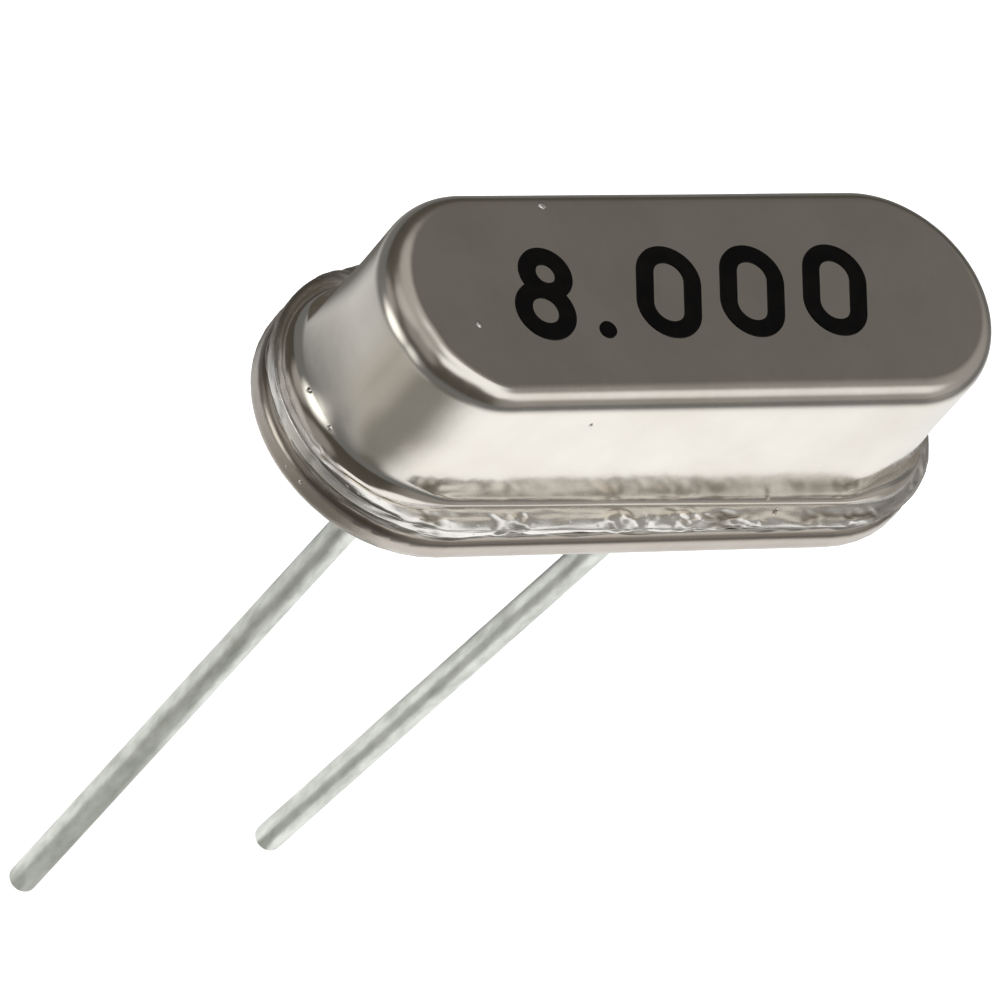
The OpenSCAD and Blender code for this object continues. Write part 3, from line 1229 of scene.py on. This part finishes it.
class CRYSTAL_OT_fit_resonator(bpy.types.Operator):
    """Dresses the clips, the quartz blank, its electrodes and the adhesive"""

    bl_idname = "crystal.fit_resonator"
    bl_label = "Fit resonator"
    bl_options = {"REGISTER", "UNDO"}

    def execute(self, context):
        inside = settings("crystal_inside")
        clip = soft_metal(
            "rolled_nickel_silver",
            tuple(inside.clip),
            tuple(inside.clip_shade),
            metallic=1.0,
            roughness=0.28,
            apart=0.3,
            deep=0.004,
        )
        quartz = glassy(
            "lapped_quartz",
            tuple(inside.quartz),
            roughness=0.3,
            ior=1.544,
            through=1.0,
            apart=0.05,
        )
        film = soft_metal(
            "evaporated_silver",
            tuple(inside.silver),
            tuple(inside.silver_shade),
            metallic=1.0,
            roughness=0.16,
            apart=0.8,
            deep=0.001,
        )
        paste = soft_metal(
            "silver_filled_epoxy",
            tuple(inside.adhesive),
            tuple(inside.adhesive_shade),
            metallic=0.6,
            roughness=0.45,
            apart=0.06,
            deep=0.006,
        )
        dress(["left_clip", "right_clip"], clip)
        dress(["quartz_blank"], quartz)
        dress(["upper_electrode", "lower_electrode"], film)
        dress(["left_adhesive", "right_adhesive"], paste)
        return {"FINISHED"}


class CRYSTAL_OT_print_numerals(bpy.types.Operator):
    """Inks the plain numerals on the can's top"""

    bl_idname = "crystal.print_numerals"
    bl_label = "Print numerals"
    bl_options = {"REGISTER", "UNDO"}

    def execute(self, context):
        marking = settings("crystal_marking")
        dress(
            ["printed_numerals"],
            printed("printed_epoxy_ink", tuple(marking.ink), tuple(marking.ink_thin)),
        )
        return {"FINISHED"}


# ---------------------------------------------------------------- stage


def lamp(name, towards, distance, across, high, radiance):
    """A soft rectangular lamp in a direction from the part, facing it, at a plain radiance."""
    light = bpy.data.lights.new(name, "AREA")
    light.shape = "RECTANGLE"
    light.size, light.size_y = across, high
    # A flat lamp's power is its radiance times its area times pi
    light.energy = radiance * math.pi * across * high
    place = bpy.data.objects.new(name, light)
    bpy.context.scene.collection.objects.link(place)
    direction = Vector(towards).normalized()
    place.location = direction * distance
    place.rotation_mode = "QUATERNION"
    place.rotation_quaternion = (-direction).to_track_quat("-Z", "Y")
    return place


def show_in_metal(sheet, material, tree, surface, cover, colour, strength=1.0):
    """Makes a sheet a grey card where it is covered, and nothing at all but in reflections."""
    clear = put(tree, "ShaderNodeBsdfTransparent")
    grey = put(tree, "ShaderNodeEmission", {"Color": tuple(colour), "Strength": strength})
    both = put(
        tree,
        "ShaderNodeMixShader",
        {0: cover.outputs[0], 1: clear.outputs[0], 2: grey.outputs[0]},
    )
    tree.links.new(both.outputs[0], surface)
    sheet.data.materials.append(material)
    sheet.visible_camera = sheet.visible_shadow = sheet.visible_diffuse = False


def fan(name, lead, towards, spread, reach, colour):
    """A card on the floor that opens out from a lead's tip, so the whole wire mirrors it alike."""
    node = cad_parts[lead]
    corners = [node.matrix_world @ v.co for v in node.data.vertices]
    lowest = min(corner.z for corner in corners)
    tip_height = 0.05 * MM
    tip = [corner for corner in corners if corner.z < lowest + tip_height]
    sheet = board(name, 2 * reach, 2 * reach)
    sheet.location = sum(tip, Vector()) / len(tip)
    material, tree, surface = started("fanned_card")
    spot = put(tree, "ShaderNodeTexCoord").outputs["Object"]
    away = put(tree, "ShaderNodeVectorMath", {0: spot}, operation="LENGTH")
    near = put(
        tree,
        "ShaderNodeMapRange",
        {
            "Value": away.outputs["Value"],
            "From Min": 0.65 * reach,
            "From Max": reach,
            "To Min": 1.0,
            "To Max": 0.0,
        },
        interpolation_type="SMOOTHSTEP",
    )
    way = put(tree, "ShaderNodeVectorMath", {0: spot}, operation="NORMALIZE")
    aligned = put(
        tree,
        "ShaderNodeVectorMath",
        {0: way.outputs["Vector"], 1: (math.cos(towards), math.sin(towards), 0)},
        operation="DOT_PRODUCT",
    )
    inside = put(
        tree,
        "ShaderNodeMapRange",
        {
            "Value": aligned.outputs["Value"],
            "From Min": math.cos(1.3 * spread),
            "From Max": math.cos(0.7 * spread),
        },
        interpolation_type="SMOOTHSTEP",
    )
    cover = put(
        tree,
        "ShaderNodeMath",
        {0: near.outputs["Result"], 1: inside.outputs["Result"]},
        operation="MULTIPLY",
    )
    show_in_metal(sheet, material, tree, surface, cover, colour)


def card(name, centre, facing, wide, high, colour, strength=1.0, heading=0.0):
    """A soft-edged oval card, a painted reflection that gives the bright metal its tones; lengths
    in millimetres.
    """
    sheet = board(name, wide * MM, high * MM)
    sheet.location = Vector(centre) * MM
    sheet.rotation_mode = "QUATERNION"
    turn = Quaternion((0, 0, 1), math.radians(heading))
    sheet.rotation_quaternion = turn @ Vector(facing).to_track_quat("Z", "Y")
    material, tree, surface = started("soft_edged_card")
    spot = put(tree, "ShaderNodeTexCoord").outputs["Generated"]
    centred = put(
        tree,
        "ShaderNodeMapping",
        {"Vector": spot, "Location": (-1.0, -1.0, 0.0), "Scale": (2.0, 2.0, 0.0)},
    )
    fade = put(
        tree,
        "ShaderNodeTexGradient",
        {"Vector": centred.outputs[0]},
        gradient_type="SPHERICAL",
    )
    cover = put(
        tree,
        "ShaderNodeMapRange",
        {"Value": fade.outputs["Fac"], "From Max": 0.75},
        interpolation_type="SMOOTHSTEP",
    )
    show_in_metal(sheet, material, tree, surface, cover, colour, strength)


def patch(tree, heading, under, towards, inner, outer, level):
    """A soft round patch of the room in one direction, laid over what is under it.

    The dimmer the patch, the warmer its grey.
    """
    warm = 1 - level
    grey = (level, level * (1 - 0.06 * warm), level * (1 - 0.13 * warm))
    aligned = put(
        tree,
        "ShaderNodeVectorMath",
        {0: heading, 1: Vector(towards).normalized()},
        operation="DOT_PRODUCT",
    )
    cover = put(
        tree,
        "ShaderNodeMapRange",
        {
            "Value": aligned.outputs["Value"],
            "From Min": math.cos(math.radians(outer)),
            "From Max": math.cos(math.radians(inner)),
        },
        interpolation_type="SMOOTHSTEP",
    )
    return put(
        tree,
        "ShaderNodeMix",
        {0: cover.outputs[0], 6: under, 7: grey},
        data_type="RGBA",
    ).outputs[2]


def lay_paper(stage):
    """Lays matte white paper just under the lead tips."""
    width, gap = 3.0, 0.00002
    level = LEAD_LOW.z * MM - gap
    paper = board("paper", width, width, level)
    material, tree, surface = started("matte_white_paper")
    rays = put(tree, "ShaderNodeLightPath")
    mirrored = put(
        tree,
        "ShaderNodeMath",
        {0: rays.outputs["Is Glossy Ray"], 1: rays.outputs["Is Transmission Ray"]},
        operation="MAXIMUM",
    )
    # The camera sees even white paper with the part's shadow on it
    glow = put(
        tree,
        "ShaderNodeMath",
        {0: rays.outputs["Is Camera Ray"], 1: stage.glow},
        operation="MULTIPLY",
    )
    white = (1.0, 1.0, 1.0)
    shine = put(tree, "ShaderNodeEmission", {"Color": white, "Strength": glow.outputs[0]})
    fibre = put(tree, "ShaderNodeBsdfDiffuse", {"Color": tuple(stage.paper)})
    sheet = put(tree, "ShaderNodeAddShader", {0: shine.outputs[0], 1: fibre.outputs[0]})
    # The metal sees it with a painted pool of light, where the lamp shines, which fades out
    spot = put(tree, "ShaderNodeTexCoord").outputs["Object"]
    away = put(
        tree,
        "ShaderNodeVectorMath",
        {0: spot, 1: (stage.pool[0], stage.pool[1], level)},
        operation="DISTANCE",
    )
    pool = put(
        tree,
        "ShaderNodeMapRange",
        {
            "Value": away.outputs["Value"],
            "From Min": stage.pool_core,
            "From Max": stage.pool_reach,
            "To Min": stage.gleam,
            "To Max": stage.gloom,
        },
        interpolation_type="SMOOTHSTEP",
    )
    lit = put(tree, "ShaderNodeEmission", {"Color": white, "Strength": pool.outputs[0]})
    both = put(
        tree,
        "ShaderNodeMixShader",
        {0: mirrored.outputs[0], 1: sheet.outputs[0], 2: lit.outputs[0]},
    )
    tree.links.new(both.outputs[0], surface)
    paper.data.materials.append(material)


def dim_room(stage):
    """A world that is dim all round, with the soft patches that the metal sees."""
    world = bpy.data.worlds.new("dim_room")
    world.use_nodes = True
    tree = world.node_tree
    tree.nodes.clear()
    heading = put(tree, "ShaderNodeTexCoord").outputs["Generated"]
    axes = put(tree, "ShaderNodeSeparateXYZ", {"Vector": heading})
    height = put(tree, "ShaderNodeMapRange", {"Value": axes.outputs["Z"], "From Max": 0.8})
    view = put(
        tree,
        "ShaderNodeMix",
        {0: height.outputs["Result"], 6: tuple(stage.room), 7: tuple(stage.ceiling)},
        data_type="RGBA",
    ).outputs[2]
    for towards, inner, outer, level in ROOM_PATCHES:
        view = patch(tree, heading, view, towards, inner, outer, level)
    room = put(tree, "ShaderNodeBackground", {"Color": view})
    put(tree, "ShaderNodeOutputWorld", {"Surface": room.outputs[0]})
    return world


def stand_cards(stage):
    """Lays and stands cards round the part that show only in the metal, as painted reflections;
    the darker ones are painted shade.
    """
    # Under each lead, a card out toward the camera leaves the wire's middle darker: painted shade
    # in its reflection
    before = stage.azimuth - HALF_TURN / 2
    for lead, spread in FANNED_CARDS:
        fan(
            lead + "_card",
            lead,
            before,
            math.radians(spread),
            FAN_REACH * MM,
            stage.wire_card,
        )
    # Each lying card is a little higher than the one before
    level, step = LEAD_LOW.z, 0.1
    for name, x, y, across in LYING_CARDS:
        level += step
        card(name, (x, y, level), (0, 0, 1), across, across, getattr(stage, name))
    card(
        "right_card",
        (110, -78, level + step),
        (0, 0, 1),
        200,
        80,
        stage.right_card,
        heading=-35,
    )
    card(
        "left_strip",
        (-31, 6, level + 9),
        (1, 0, 0),
        28,
        20,
        stage.left_strip,
        strength=1.6,
    )


def stand_camera(stage):
    """A long lens at a distance, looking at the aim."""
    azimuth, elevation, roll = stage.azimuth, stage.elevation, stage.roll
    back = Vector(
        (
            math.sin(azimuth) * math.cos(elevation),
            -math.cos(azimuth) * math.cos(elevation),
            math.sin(elevation),
        )
    )
    level_right = Vector((0, 0, 1)).cross(back).normalized()
    level_up = back.cross(level_right)
    up = math.cos(roll) * level_up + math.sin(roll) * level_right
    right = math.cos(roll) * level_right - math.sin(roll) * level_up
    lens = bpy.data.cameras.new("close_up")
    lens.lens = stage.lens
    lens.sensor_width = 36
    lens.clip_start, lens.clip_end = 0.01, 10
    camera = bpy.data.objects.new("close_up", lens)
    bpy.context.scene.collection.objects.link(camera)
    turn = Matrix((right, up, back)).transposed().to_4x4()
    place = Vector(stage.aim) + back * stage.distance
    camera.matrix_world = Matrix.Translation(place) @ turn
    return camera


class CRYSTAL_OT_set_stage(bpy.types.Operator):
    """Lays the paper, hangs the soft lamp and stands the cards and the camera"""

    bl_idname = "crystal.set_stage"
    bl_label = "Set stage"
    bl_options = {"REGISTER", "UNDO"}

    def execute(self, context):
        stage = settings("crystal_stage")
        scene = context.scene
        lay_paper(stage)
        scene.world = dim_room(stage)
        stand_cards(stage)
        # One soft lamp overhead; in the metal, the room's bright patches stand for it
        overhead = lamp("overhead_lamp", (0.15, -0.25, 0.95), 0.4, 0.3, 0.3, stage.lamp)
        overhead.visible_glossy = False
        scene.camera = stand_camera(stage)
        scene.view_settings.view_transform = "Standard"
        return {"FINISHED"}


PIECES = (
    CRYSTAL_OT_draw_can,
    CRYSTAL_OT_flash_weld,
    CRYSTAL_OT_spatter_weld,
    CRYSTAL_OT_plate_header,
    CRYSTAL_OT_tin_leads,
    CRYSTAL_OT_seal_leads,
    CRYSTAL_OT_fit_resonator,
    CRYSTAL_OT_print_numerals,
    CRYSTAL_OT_set_stage,
)


class CRYSTAL_PT_pieces(bpy.types.Panel):
    """Lists the pieces of the crystal unit and their settings"""

    bl_idname = "CRYSTAL_PT_pieces"
    bl_label = "Crystal unit"
    bl_space_type = "VIEW_3D"
    bl_region_type = "UI"
    bl_category = "Crystal"

    def draw(self, context):
        for operator in PIECES:
            self.layout.operator(operator.bl_idname)
        for name, group in GROUPS.items():
            box = self.layout.box()
            box.label(text=name.removeprefix("crystal_").capitalize())
            for key in group.__annotations__:
                box.prop(getattr(context.scene, name), key)


CLASSES = (*GROUPS.values(), *PIECES, CRYSTAL_PT_pieces)


def register():
    for cls in CLASSES:
        bpy.utils.register_class(cls)
    for name, group in GROUPS.items():
        setattr(bpy.types.Scene, name, PointerProperty(type=group))


def unregister():
    for name in GROUPS:
        delattr(bpy.types.Scene, name)
    for cls in reversed(CLASSES):
        bpy.utils.unregister_class(cls)


def main():
    register()
    bpy.ops.crystal.draw_can()
    bpy.ops.crystal.flash_weld()
    bpy.ops.crystal.spatter_weld()
    bpy.ops.crystal.plate_header()
    bpy.ops.crystal.tin_leads()
    bpy.ops.crystal.seal_leads()
    bpy.ops.crystal.fit_resonator()
    bpy.ops.crystal.print_numerals()
    bpy.ops.crystal.set_stage()


if __name__ == "__main__":
    main()
